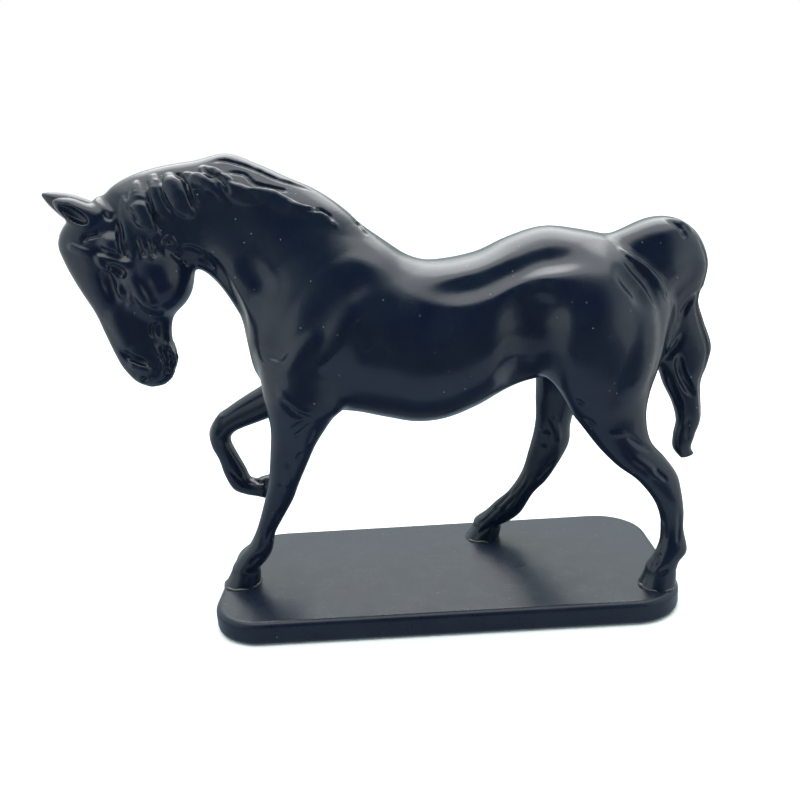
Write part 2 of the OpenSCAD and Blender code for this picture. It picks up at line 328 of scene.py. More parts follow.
def join(body, limb, soft, strokes=()):
    """Blends a limb into a body, draws on the blend, and shares the result out between the two pieces.

    Each piece runs on past the joint for LAP under the other's skin, so that no gap shows between them.
    """
    first = limb.start - body.start
    where = tuple(slice(first[n], first[n] + limb.field.shape[n]) for n in range(3))
    trunk, branch = body.field[where].copy(), limb.field
    side = (trunk - branch) / 2
    limb.field = smooth_min(trunk, branch, soft)
    for outline, radius, depth in strokes:
        limb.stroke(outline, radius, depth, BOTH_SIDES, 0.6)
    whole = limb.field
    body.field[where] = np.maximum(whole + SINK * np.clip(side / LAP, 0, 1), side - LAP)
    limb.field = np.maximum(whole + SINK * np.clip(-side / LAP, 0, 1), -side - LAP)


# ---------------------------------------------------------------- the horse

# Each ring is x, z of its upper or front edge, x, z of its lower or back edge, y, half width.
TRUNK = [
    (-72, 108, -71.5, 91, 0, 8), (-66, 122, -66, 80, 0, 15), (-58, 133, -58, 76, 0, 18.5),
    (-46, 140, -47, 74, 0, 21), (-32, 143, -33, 72.5, 0, 22.5), (-20, 141, -20, 69.3, 0, 24.5),
    (-8, 134, -8, 66.8, 0, 26.5), (4, 132.2, 4, 67.5, 0, 27), (18, 133.8, 17, 72, 0, 26.5),
    (32, 139.3, 30, 78.5, 0, 24.5), (46, 142.6, 42, 82, 0, 24), (60, 140.6, 56, 84, 0, 24.5),
    (74, 136.5, 70, 88, 0, 22.5), (86, 129, 83, 93, 0, 18), (93.5, 118, 91.5, 101, 0, 11),
]
NECK = [
    (-2, 126, -40, 84, 0, 15), (-18, 139.6, -56, 84, 0, 19), (-30, 152.8, -68, 96, 0, 18),
    (-41, 161.4, -73, 108, 0, 15.5), (-52, 167, -76.5, 117, 0, 13.5), (-63, 172.6, -80.5, 125.5, 0, 12.3),
    (-74, 177, -86, 132, -1, 11.4), (-86, 175.2, -91.5, 135.4, -2, 11), (-98, 174, -96, 136, -3, 10.8),
    (-109, 171.6, -99, 138, -4, 10.4), (-118, 167.4, -104, 141, -5, 9.4),
    (-125, 160.6, -110, 144, -5, 6.4),
]
HEAD = [
    (-123.6, 163, -102, 146, -5, 8.5), (-134.2, 156.8, -97, 141, -5.5, 11),
    (-139.2, 149, -95.4, 135.5, -6, 11.5), (-138.1, 141, -95.6, 131, -6, 11.3),
    (-134.6, 131, -97.5, 125.5, -6, 9.8), (-130.3, 121, -101.2, 119, -6, 8.2),
    (-127.8, 112, -103.4, 111.5, -6, 7.2), (-125.4, 104, -103.4, 104, -6, 6.8),
    (-123, 98, -103.4, 98.5, -6, 6.8), (-118.8, 92.2, -104.8, 92.8, -6, 5.8),
    (-114, 89.4, -108, 89.8, -6, 3),
]
NEAR_FORE = [
    (-66, 100, -36, 88, -13, 9), (-66, 84, -37.5, 78, -13.5, 8.5), (-65.5, 74, -42, 73, -13, 7.6),
    (-67.2, 63, -48.8, 63, -12, 6.4), (-68.8, 53, -54, 53, -11, 5.6), (-70.5, 45, -58, 45, -10, 5.6),
    (-72.8, 38, -61.2, 38, -9, 5), (-76, 29, -66.8, 29, -8.5, 4), (-78.6, 23, -70.3, 23, -8, 3.9),
    (-81.6, 18, -72.3, 15.5, -8, 4.6), (-86, 13.2, -75, 11, -7.5, 4.8), (-89.6, 8.6, -78.6, 7, -7, 5.4),
]
NEAR_HIND = [
    (40, 118, 86, 114, -12, 11), (41, 100, 88, 98, -15, 12), (44.3, 87.6, 86.5, 87.6, -16, 11.6),
    (50.7, 75, 83.5, 77, -16.5, 9.8), (57.6, 65.4, 82.5, 67.4, -17, 7.9),
    (64.2, 56.2, 84.1, 57.7, -18.4, 6.6), (70.7, 49.3, 89.5, 50.8, -20.6, 6),
    (77.9, 43.8, 93.3, 44.8, -23, 5.6), (83.5, 36.9, 94.4, 38.9, -25, 4.8),
    (86.3, 30.5, 95.3, 31, -26, 4), (87, 24, 95.3, 23, -26.6, 3.8),
    (86.4, 17.5, 96.6, 14.5, -27.3, 4.6), (84, 12.5, 93.6, 10.5, -28, 4.8), (81.4, 8.2, 92.4, 7, -28, 5.4),
]
OFF_HIND = [
    (46, 112, 88, 108, 12, 11), (43.5, 92, 84, 92, 14.5, 11), (44, 80, 74, 82, 17, 10),
    (45.3, 70, 66.5, 72, 18.5, 8), (45.8, 60, 62, 61, 20, 6.6), (45, 52, 60.3, 54, 21, 6),
    (42.5, 42, 59.3, 44, 22, 5.4), (39.3, 31.6, 50.9, 29.2, 23, 4.2), (33.5, 22.7, 43.7, 21.5, 23.5, 3.9),
    (27, 17, 38, 12.5, 24, 4.6), (22.4, 12.6, 33, 8.5, 24.5, 4.8), (17.4, 8.8, 28.6, 6.4, 25, 5.4),
]
RAISED_FORELEG = [
    (-50, 96, -42, 76, 11, 8), (-64, 87, -60, 71, 13, 7.6), (-73.2, 81.7, -68.7, 68.5, 13.5, 6.8),
    (-81.3, 77.3, -77.7, 65.6, 14, 6), (-88, 73.3, -83.5, 63.8, 14, 5.5),
    (-93.5, 69.5, -87, 62.3, 14, 5.4), (-97.8, 63.5, -89.3, 60, 14, 5.2),
    (-97.8, 56.5, -89.6, 57, 14, 4.6), (-95.3, 49.5, -87.3, 51, 14, 4), (-93.6, 42, -84.6, 44.7, 14, 3.9),
    (-90.5, 35.5, -83, 40.2, 14, 4.4), (-85, 32.7, -80, 39.2, 14, 4.4), (-80, 31.5, -77, 40, 14, 4.8),
    (-74, 29.6, -72, 41, 14, 5.6), (-69, 28.7, -67.8, 41.4, 14, 6.2), (-67.4, 29.4, -66.3, 40.9, 14, 5.7),
    (-66.9, 31.4, -66.1, 39, 14, 3.8),
]
TAIL = [
    (70, 134.4, 80, 112, 0, 8), (77, 139, 86, 116, 0, 11.5), (88, 143, 89, 119, 0, 13.2),
    (97.2, 142.4, 91, 118, 0, 13.2), (105.2, 136.6, 92, 115, 0, 12), (109.6, 127, 92, 110, 0, 10.4),
    (109.2, 118, 89, 106, 0, 8.8), (107.4, 110, 88, 101, 0, 7.6), (110, 101, 88, 95, 0, 7),
    (113.4, 91, 88.8, 88, 0, 6.8), (112.2, 83, 92.8, 82.5, 0, 6.2), (110, 76, 95.2, 75.5, 0, 5.4),
    (110.2, 68, 99, 67.5, 0, 4.8), (110.4, 60, 101, 59.5, 0, 4.3), (108.2, 53.5, 100, 53, 0, 3.8),
    (106.6, 48, 100, 47.4, 0, 3.4), (108, 44.8, 103, 43.2, 0, 2.2),
]
TAIL_FULLNESS = 2.5
TAIL_ARCH = (91.6, 0, 126)
TAIL_ARCH_RADII = (12.8, 15, 13.4)
EAR = [
    (-120, 158.6, -130, 150.6, 0, 3.8), (-126, 162.2, -132.4, 154.4, 0, 4.4),
    (-131, 164.4, -135, 157.6, 0, 3.8), (-135.6, 164.8, -137, 160.4, 0, 2.4),
    (-138.4, 164, -138.2, 162.6, 0, 0.8),
]
MANE = [
    (-124, 157, -121.6, 152.6, -5.5, 2), (-119.6, 161, -116, 152, -5, 5.6),
    (-114.6, 165.4, -111, 151.6, -4.5, 8), (-108.6, 167.6, -105.6, 152.6, -4, 9.4),
    (-97, 169, -95, 152.6, -3.5, 10.4), (-87.4, 170, -85, 153.6, -3, 10.8),
    (-79, 172, -80.4, 155.6, -2.5, 11), (-69.6, 171, -73.4, 153.6, -2, 10.8),
    (-60, 166, -66.2, 150.6, -2, 10.4), (-49, 161.4, -55.2, 147.6, -1.5, 10),
    (-38, 156.6, -45.6, 143.6, -1.5, 9.4), (-29, 149.6, -36.6, 138.6, -1, 8.6),
    (-20, 142, -25.6, 133.6, -1, 6),
]
HEAD_Y = -6
HEAD_TURN = 0.2
HEAD_FULLNESS = 2.1
EAR_OFFSET = 6.5

# How wide the fillet is where each part meets the rest
NECK_FILLET = 8
HEAD_FILLET = 5
MUSCLE_FILLET = 7
LEG_FILLET = 6
EAR_FILLET = 2
MANE_FILLET = 2.5
JOINT_FILLET = 5

# Each hoof: x, y of the middle of its sole, and half of its length and width.
NEAR_FORE_HOOF = (-86.8, -7.2, 7.6, 7.2)
NEAR_HIND_HOOF = (85.2, -28, 6.9, 7)
OFF_HIND_HOOF = (19.8, 25, 7.4, 7)

# Muscles on both sides: x, y from the middle, z, their three radii, and their tilt in degrees.
MUSCLES = [
    (-40, 12, 108, 29, 14, 12.5, 53), (-54, 11, 84, 14, 12.5, 11, 70), (61, 13, 105, 25, 17.5, 21, 75),
    (76, 10, 98, 25, 10, 11, 80), (84, 6.5, 106, 20, 9.5, 9.5, 95), (48, 11, 121, 15, 14, 9, -12),
    (20, 6, 120, 34, 14, 9.5, 6), (-66, 5, 128, 22, 8, 10, 130),
]

# Strokes on both sides of the body: an outline of x, z points, the tool's radius, and its depth.
BODY_STROKES = [
    ([(-12, 126), (4, 122.4), (18, 123.6), (30, 127.4), (42, 131), (54, 131), (66, 127)], 4.5, 1.9),
    ([(-19, 130), (-25, 128.6), (-33, 124), (-40, 116), (-46, 104), (-51, 93)], 7, 1.3),
    ([(-42, 110.6), (-49.2, 104), (-57, 96)], 3, -0.6),
    ([(-61, 91), (-58.6, 86.5), (-55, 82.6), (-51, 79), (-45.5, 77.6)], 1.5, -0.6),
    ([(-60, 86.5), (-56.5, 82), (-53, 78.6), (-47, 76)], 1.5, 0.9),
    ([(-92, 143), (-86, 139), (-79, 131), (-74, 118), (-71.5, 104)], 3, 0.7),
    ([(-68.6, 136), (-65.6, 132), (-62.4, 127)], 4, 0.5),
    ([(-84, 139.5), (-80, 136), (-75, 126)], 1.6, 0.4),
    ([(35, 124), (37, 112), (38, 101), (39.5, 90), (43, 80)], 8, 1.4),
    ([(78, 118), (80.4, 110), (80.4, 100.7), (79, 91.5), (75, 80.3), (71, 71)], 4.5, -0.6),
    ([(69, 129), (73, 122.5), (76.6, 117.8), (80.5, 110)], 3.2, 1.2),
    ([(54, 77.6), (56.5, 76)], 0.8, 0.5),
    ([(57, 70), (61.5, 67)], 0.9, 0.5),
    ([(66.5, 63.2), (73, 63.6)], 1.0, -0.3),
]
FORELEG_STROKES = [
    ([(-58, 70.6), (-54.7, 73.3), (-49, 76.4)], 1.4, 0.5),
    ([(-57.4, 68.2), (-53.1, 70.8), (-49, 75)], 1.2, 0.45),
    ([(-48.2, 72), (-49.2, 68.6), (-51.8, 64)], 0.7, 0.6),
    ([(-54.6, 60.8), (-56.8, 57.6)], 0.9, 0.5),
    ([(-63.4, 49.6), (-64.8, 47.2)], 0.8, 0.45),
    ([(-63.4, 38), (-67.6, 32), (-71.6, 25), (-74.4, 19)], 1.2, 0.6),
    ([(-76, 14.8), (-79.5, 12.8), (-82.6, 9.6)], 1.0, 0.6),
    ([(-60, 57), (-61.5, 51), (-62, 45)], 2.2, -0.5),
]
HIND_STROKES = [
    ([(83, 49.4), (88.3, 44.2)], 0.8, 0.6), ([(81, 48.8), (86.6, 43.6)], 0.7, -0.35),
    ([(86.2, 33), (87.4, 25), (87, 17)], 1.3, 0.7), ([(92.6, 33), (92.8, 25), (91.8, 17)], 1.1, 0.5),
    ([(85.8, 14.4), (83, 9.8)], 1.0, 0.6), ([(84.4, 7.2), (88, 9.4)], 0.9, 0.7),
    ([(74, 55), (80, 50.6), (84.6, 47)], 2, -0.6), ([(72, 64), (78, 58.5), (84, 55)], 1.8, 0.6),
]
# On the raised foreleg each stroke also has the softness of its edges.
RAISED_STROKES = [
    ([(-82, 39.4), (-78, 38.4), (-74, 39.4)], 1.0, 0.7, 0.4),
    ([(-76.4, 31.6), (-75.6, 36), (-76, 40)], 0.8, 0.6, 0.4),
    ([(-92, 47), (-88, 41.6), (-84, 37)], 1.2, 0.6, 0.5),
    ([(-91, 72), (-94.4, 66), (-94.4, 59)], 2.4, -0.6, 1.0),
]
OFF_HIND_STROKES = [
    ([(34.4, 23), (30, 19), (25.4, 14.8)], 0.8, 0.6), ([(36.6, 22.4), (32.4, 18), (28, 14)], 0.7, 0.5),
    ([(26, 9.4), (22, 6.6), (16, 3)], 0.9, 0.7), ([(49.4, 52.6), (48.2, 45.6)], 2.2, 0.7),
    ([(54, 40), (49, 34), (44, 28)], 1.3, 0.6), ([(50, 62), (53.5, 54), (55, 47)], 2, -0.6),
]

# Strokes on the head, which is turned a little, so that each side has the same marks.
HEAD_STROKES = [
    ([(-133.5, 148), (-129, 145.6), (-123.5, 143.6)], 1.6, -1.0),
    ([(-124, 143.8), (-119.6, 141.8), (-114, 139.4), (-110.6, 139.6)], 1.8, -1.2),
    ([(-123.5, 143.4), (-121.6, 140.3), (-119.2, 137), (-117.1, 134.6)], 1.3, -1.2),
    ([(-118.6, 139), (-116, 137.4), (-113.8, 135)], 1.8, 1.1),
    ([(-122.6, 145.8), (-119, 144.3), (-114.6, 142.6)], 1.6, 1.2),
    ([(-127.4, 147.4), (-126.4, 150), (-123, 150.6), (-118, 151.8)], 1.0, 1.0),
    ([(-114.2, 158), (-113.8, 151), (-113.4, 144), (-112, 140.6)], 1.2, 1.1),
    ([(-121, 137), (-120.6, 131.4), (-119, 125)], 2.6, 2.2),
    ([(-117.2, 135), (-114, 132.8), (-112.8, 128.8), (-114.2, 124.2), (-117, 122)], 1.0, -1.0),
    ([(-112.7, 138.6), (-111.6, 133.4), (-109.6, 129), (-107.4, 124), (-107.4, 118)], 2.6, -1.1),
    ([(-106.6, 134), (-105, 129), (-104.6, 123)], 2.2, 0.6),
    ([(-123, 122), (-119.6, 113), (-117, 106)], 3.4, -0.9),
    ([(-121.6, 106.4), (-119.2, 103.6), (-115.1, 101), (-110.8, 99)], 1.6, 1.5),
    ([(-119.4, 101.2), (-115, 98.6), (-111, 96.8)], 1.6, -1.1),
    ([(-107.4, 102), (-106.1, 99), (-105.2, 92.9)], 0.9, 1.3),
    ([(-110, 108), (-108, 103), (-107.2, 98), (-107.4, 94)], 1.3, -0.8),
    ([(-105.1, 108.4), (-104.2, 104), (-103.4, 99.6), (-104.4, 94)], 0.9, -1.0),
    ([(-106.6, 106.6), (-106, 102.6), (-105, 99)], 0.9, 1.0),
    ([(-108.3, 115.6), (-108.9, 113), (-108.6, 109.8)], 0.8, 1.0),
    ([(-106.8, 115.8), (-107.4, 113), (-107.3, 109.4)], 0.7, 0.9),
    ([(-97.4, 142.8), (-95, 140.6), (-92.8, 137.6), (-92, 134.6)], 1.2, 0.8),
    ([(-92.6, 144), (-89.4, 143.4), (-86, 141), (-83.6, 138.6)], 1.0, 0.8),
    ([(-88.4, 140), (-85, 138), (-81, 134)], 1.0, 0.5),
    ([(-119.6, 158.6), (-117.3, 156.2), (-114.8, 158.2)], 0.8, 0.8),
]

# Places on the head and neck, in the side view
JOWL = (-105.2, 131.8)
TEMPLE = (-117.2, 146.4)
EYE = (-117, 129.4)
NOSTRIL = (-114.3, 94)
LIPS = (-104.2, 92.4)
CASTING_RING = (-96.9, 146.4)
CASTING_PIT = (-34.2, 157.2)

# Locks of the mane: an outline of x, z points from root to tip, and the radius along it.
LOCKS = [
    ([(-111.6, 163), (-111.4, 156), (-110.8, 149), (-110.3, 141.6)], (0.8, 2.4, 2.6, 0.8)),
    ([(-111, 162), (-108.8, 156), (-107.6, 149), (-108, 140.6)], (0.8, 3, 2.8, 0.5)),
    ([(-110.6, 161.6), (-106.6, 156), (-104.4, 149), (-103.6, 140.4)], (0.8, 3, 2.8, 0.5)),
    ([(-109.6, 161), (-104.6, 154.4), (-101.4, 149), (-99, 141.4)], (0.8, 2.6, 2.6, 0.6)),
    ([(-107, 168), (-106, 161), (-104, 155.5), (-101, 151)], (1.4, 4, 3.4, 0.6)),
    ([(-100.4, 170), (-99.6, 164), (-98, 159), (-95, 154.6)], (1.4, 3.6, 3.2, 0.6)),
    ([(-94.5, 170), (-93, 165.5), (-91, 161), (-87.6, 156.4)], (1.6, 4.4, 4.4, 2.4)),
    ([(-88, 170), (-83.6, 167.6), (-79, 165), (-73.6, 160)], (1.4, 3.4, 3, 0.6)),
    ([(-82, 172), (-78, 169.4), (-73.6, 166.6), (-70.6, 161)], (1.4, 3.4, 3, 0.6)),
    ([(-74, 166), (-69, 162.4), (-63, 160.4), (-58, 160.6)], (1.6, 3.6, 3.4, 1)),
    ([(-64, 163), (-57, 159.4), (-50, 155.6), (-43.6, 152.6)], (1.6, 3.8, 3.4, 0.8)),
    ([(-50, 157), (-44, 153.6), (-38, 150.4), (-33, 147.6)], (1.4, 3, 2.6, 0.7)),
]
HAIR_STROKES = [
    ([(-107.8, 149), (-106.9, 145.4), (-105.8, 141.6)], 0.7, 0.9),
    ([(-104, 148), (-103.3, 145), (-102.4, 141.4)], 0.7, 0.9),
    ([(-110.6, 161), (-107.6, 157.6), (-106.4, 154)], 0.7, 0.7),
    ([(-99.6, 169.5), (-97.4, 167.2), (-95.9, 163.2)], 0.8, -0.6),
    ([(-102.2, 169), (-101.8, 164.7), (-100.7, 158.1)], 0.9, 0.7),
    ([(-96.8, 168.5), (-97, 165.8), (-95.2, 160.3), (-92, 155)], 0.9, 0.8),
    ([(-93, 171), (-88.5, 168.5), (-86.6, 162.6), (-85.2, 157)], 0.9, 0.9),
    ([(-90.9, 170.6), (-86.1, 166.5), (-84.7, 161.4), (-83.7, 157)], 0.8, -0.6),
    ([(-82.3, 173.5), (-80.1, 170.5), (-74.6, 167.6), (-71.2, 161.6)], 0.9, 0.9),
    ([(-84.6, 166.1), (-80.1, 164), (-76.1, 160.8)], 0.8, 0.7),
    ([(-81, 173.4), (-75.2, 174.6), (-69, 173), (-63.3, 170.6), (-56.2, 167), (-48.6, 164), (-38.1, 159.6)],
     0.9, 0.7),
    ([(-74.4, 170), (-66.9, 169.2), (-63.1, 165.5), (-56.7, 163.6), (-49.4, 161.3)], 1.0, 0.8),
    ([(-46, 154.6), (-41, 154.6), (-36.6, 152.5), (-33.6, 148.9)], 0.9, 0.6),
    ([(-27.4, 150), (-25, 147), (-22.4, 143.8)], 1.2, 0.8),
]
TAIL_STROKES = [
    ([(71, 135.4), (75.4, 130.6), (82.2, 124.7), (87, 118.8), (91, 110)], 2.0, -1.5),
    ([(72, 130), (78, 124.4), (82.6, 118.6), (86, 110)], 3.6, 1.4),
    ([(91.2, 143), (96.4, 139.3), (98.2, 134.6)], 1.3, 1.0),
    ([(93.4, 143), (98.6, 140.4), (101.6, 136.6)], 1.0, -0.6),
    ([(98.4, 103), (100.6, 108.4), (103.6, 112), (108, 114.6)], 1.6, 1.2),
    ([(93, 91), (94.6, 98), (98, 103.4)], 1.6, -0.8),
    ([(92.6, 87), (95.6, 90.4), (98, 93), (99.8, 99)], 1.5, 1.2),
    ([(98.6, 91), (99.4, 83), (102.6, 76), (106.6, 70.4)], 2.2, 2.0),
    ([(94.6, 84), (96.4, 77), (99.4, 70), (102.4, 63)], 2.0, 0.7),
    ([(104, 62), (103.8, 57), (105, 50)], 1.4, 0.6),
]

# Grooves down the tail's back: their places as shares of its half width, and how far out they run
STRAND_SHARES = (-0.75, -0.4, 0.3, 0.7)
STRAND_LIFT = 0.5


def add_leg(clay, leg, hoof):
    """A standing leg, whose last ring is the coronet, carried on down to the hoof's sole."""
    x, y, half_long, half_wide = hoof
    front, top, back, low, leg_y, leg_wide = leg[-1]
    rings = []
    for t in (0.3, 0.6, 0.85, 1, 1.06):
        flare = t * t * 0.35 + t * 0.65
        toe = front + (x - half_long - front) * flare
        heel = back + (x + half_long - back) * (t * 0.4 + t * t * 0.6)
        rings.append((toe, top * (1 - t), heel, low * (1 - t),
                      leg_y + (y - leg_y) * t, leg_wide + (half_wide - leg_wide) * flare))
    clay.add_skin(leg + rings, LEG_FILLET)


def add_face(clay, side):
    """The jowl, the temple and the half-closed eye."""
    clay.ball((JOWL[0], HEAD_Y + side * 3, JOWL[1]), (12, 9.6, 11.4), 6, 60)
    clay.dot(*TEMPLE, 5.2, -2.4, (side,), 1.5)
    clay.dot(*EYE, 3.9, -1.9, (side,), 1.2)


def add_ear(clay, side):
    """An ear with the hollow of its outer side. The off one reaches further out, and higher."""
    root, last = EAR[0][0], len(EAR) - 1
    reach, rise = (1.5, 3.0) if side > 0 else (1.0, 0.0)
    rows = [(root + (a - root) * reach, b + rise * n / last, root + (c - root) * reach, d + rise * n / last,
             HEAD_Y + side * EAR_OFFSET, w) for n, (a, b, c, d, _, w) in enumerate(EAR)]
    clay.add_skin(rows, EAR_FILLET)
    hollow = (root - 10.6 * reach, HEAD_Y + side * (EAR_OFFSET + 4.4), 158.8 + rise / 2)
    clay.ball(hollow, (6.6 * reach, 3.4, 2.6), 0.6, -32, True)


def add_mouth(clay):
    """The slit between the lips, and the nostrils."""
    for side in BOTH_SIDES:
        clay.dot(*NOSTRIL, 1.1, 1.2, (side,), 0.2)
        clay.ring(*NOSTRIL, 2.1, 0.7, 0.35, (side,))
    slit = [(LIPS[0], HEAD_Y + y, LIPS[1]) for y in (-8, -4, 0, 4, 8)]
    clay.rope(np.array(slit), [0.9], 0.4, True)


def add_mane(clay):
    """The mane's roll along the crest, the locks that hang from it, and the hair drawn on them."""
    clay.add_skin(MANE, MANE_FILLET)
    for outline, radii in LOCKS:
        clay.lock(outline, radii, BOTH_SIDES, -0.4, 2.2, 0.8)
    for outline, radius, depth in HAIR_STROKES:
        clay.stroke(outline, radius, depth, BOTH_SIDES, 0.3, 0.2)
    clay.dot(*CASTING_PIT, 1.0, 1.0, (-1,), 0.2)


def build_horse():
    """The body's clay, with everything on it but the raised foreleg and the tail."""
    clay = Clay((-152, -42, -2), (124, 40, 182))
    clay.add_skin(TRUNK, 0)
    clay.add_skin(NECK, NECK_FILLET)
    clay.add_skin(HEAD, HEAD_FILLET, HEAD_FULLNESS, HEAD_TURN)
    for x, y, z, rx, ry, rz, tilt in MUSCLES:
        for side in BOTH_SIDES:
            clay.ball((x, side * y, z), (rx, ry, rz), MUSCLE_FILLET, tilt)
    for leg, hoof in ((NEAR_FORE, NEAR_FORE_HOOF), (NEAR_HIND, NEAR_HIND_HOOF), (OFF_HIND, OFF_HIND_HOOF)):
        add_leg(clay, leg, hoof)
    for outline, radius, depth in BODY_STROKES:
        clay.stroke(outline, radius, depth, BOTH_SIDES, radius)
    for strokes in (FORELEG_STROKES, HIND_STROKES, OFF_HIND_STROKES):
        for outline, radius, depth in strokes:
            clay.stroke(outline, radius, depth, BOTH_SIDES, 0.6)
    for side in BOTH_SIDES:
        add_face(clay, side)
    add_mane(clay)
    for side in BOTH_SIDES:
        add_ear(clay, side)
    for outline, radius, depth in HEAD_STROKES:
        clay.stroke(outline, radius, depth, BOTH_SIDES, radius * 0.7)
    clay.ring(*CASTING_RING, 1.9, 0.8, 0.8)
    add_mouth(clay)
    return clay


def build_raised_foreleg():
    """The bent foreleg, with a hollow in the sole of its hoof."""
    clay = Clay((-106, -2, 18), (-34, 28, 106))
    clay.add_skin(RAISED_FORELEG, 0)
    for outline, radius, depth, soft in RAISED_STROKES:
        clay.stroke(outline, radius, depth, BOTH_SIDES, soft)
    sole_hollow = (-65.6, 14, 35)
    clay.ball(sole_hollow, (1.6, 3.6, 4), 0.6, -6, True)
    return clay


def build_tail():
    """The tail, with grooves down its back between the strands of hair."""
    clay = Clay((62, -32, 34), (122, 32, 152))
    clay.add_skin(TAIL, 0, TAIL_FULLNESS)
    clay.ball(TAIL_ARCH, TAIL_ARCH_RADII, 2)
    for share in STRAND_SHARES:
        outward = (1 - abs(share) ** TAIL_FULLNESS) ** (1 / TAIL_FULLNESS)
        strand = [((x + back) / 2 + (x - back) / 2 * outward + STRAND_LIFT, y + wide * share,
                   (z + low) / 2 + (z - low) / 2 * outward) for x, z, back, low, y, wide in TAIL[4:-2]]
        clay.rope(curve(strand, 3), (0.2, 1.3, 1.5, 1.2, 0.3), 1.2, True)
    return clay


def build_beads():
    """A bead of adhesive in the corner around each hoof, uneven as a squeezed tube leaves it."""
    points, faces = [], []
    turn = np.linspace(0, 2 * math.pi, BEAD_POINTS, endpoint=False)
    profile = np.linspace(-0.5 * math.pi, math.pi, BEAD_SIDES)
    for x, y, half_long, half_wide in (NEAR_FORE_HOOF, NEAR_HIND_HOOF, OFF_HIND_HOOF):
        first = len(points)
        for t in turn:
            size = BEAD_SIZE * (1 + 0.4 * math.sin(3 * t + x) + 0.3 * math.sin(7 * t + y))
            for s in profile:
                out = size * 0.9 * math.cos(s)
                points.append((x + (half_long + out) * math.cos(t), y + (half_wide + out) * math.sin(t),
                               max(size * math.sin(s), BEAD_FOOT)))
        n_points = BEAD_POINTS * BEAD_SIDES
        for i in range(BEAD_POINTS):
            for j in range(BEAD_SIDES):
                here, right = i * BEAD_SIDES, (i + 1) * BEAD_SIDES % n_points
                up = (j + 1) % BEAD_SIDES
                faces.append((first + here + j, first + right + j, first + right + up, first + here + up))
    return make_object("beads", np.array(points), faces)


def sculpt():
    """The horse's body, raised foreleg and tail, as three objects that meet at their joints."""
    horse, foreleg, tail = build_horse(), build_raised_foreleg(), build_tail()
    join(horse, foreleg, JOINT_FILLET)
    join(horse, tail, JOINT_FILLET, TAIL_STROKES)
    return horse.mesh("horse"), foreleg.mesh("foreleg"), tail.mesh("tail_hair")


# ---------------------------------------------------------------- materials

# Colours are linear red, green, blue and alpha.
JADE_DARK = (0.0028, 0.0058, 0.017, 1)
JADE_BLUE = (0.0050, 0.0098, 0.0205, 1)
JADE_VEIN = (0.011, 0.018, 0.027, 1)
JADE_SPECK = (0.32, 0.34, 0.35, 1)
RESIN = (0.010, 0.011, 0.012, 1), (0.045, 0.048, 0.05, 1)
STEEL = (0.42, 0.42, 0.43, 1), (0.62, 0.62, 0.63, 1)
FLOOR = (0.88, 0.88, 0.88, 1), (0.92, 0.92, 0.92, 1)

# Polish, the length of the surface's waves in mm, and refractive index of the two stones
HORSE_FINISH = (0.20, 6, 1.46)
PLINTH_FINISH = (0.30, 3, 1.38)


class Nodes:
    """Builds a node tree a line at a time."""

    def __init__(self, tree):
        tree.nodes.clear()
        self.tree = tree

    def add(self, kind, ports=None, **settings):
        node = self.tree.nodes.new(kind)
        for name, value in settings.items():
            setattr(node, name, value)
        for name, value in (ports or {}).items():
            if isinstance(value, bpy.types.NodeSocket):
                self.tree.links.new(value, node.inputs[name])
            else:
                node.inputs[name].default_value = value
        return node

    def noise(self, place, size_mm, detail=3, roughness=0.5, distortion=0.0):
        node = self.add("ShaderNodeTexNoise", {
            "Vector": place, "Scale": 1000 / size_mm, "Detail": detail,
            "Roughness": roughness, "Distortion": distortion})
        return node.outputs["Fac"]

    def ramp(self, value, low, high, to_low=0.0, to_high=1.0):
        node = self.add("ShaderNodeMapRange", {
            "Value": value, "From Min": low, "From Max": high, "To Min": to_low, "To Max": to_high})
        return node.outputs["Result"]

    def mix(self, factor, first, second):
        node = self.add("ShaderNodeMix", data_type="RGBA")
        for socket, value in zip((node.inputs[0], node.inputs[6], node.inputs[7]), (factor, first, second)):
            if isinstance(value, bpy.types.NodeSocket):
                self.tree.links.new(value, socket)
            else:
                socket.default_value = value
        return node.outputs[2]

    def bump(self, height, strength, depth_mm, normal=None):
        ports = {"Height": height, "Strength": strength, "Distance": depth_mm / 1000}
        if normal is not None:
            ports["Normal"] = normal
        return self.add("ShaderNodeBump", ports).outputs["Normal"]


def new_material(name):
    """An empty material and the nodes to fill it with."""
    material = bpy.data.materials.new(name)
    material.use_nodes = True
    return material, Nodes(material.node_tree)


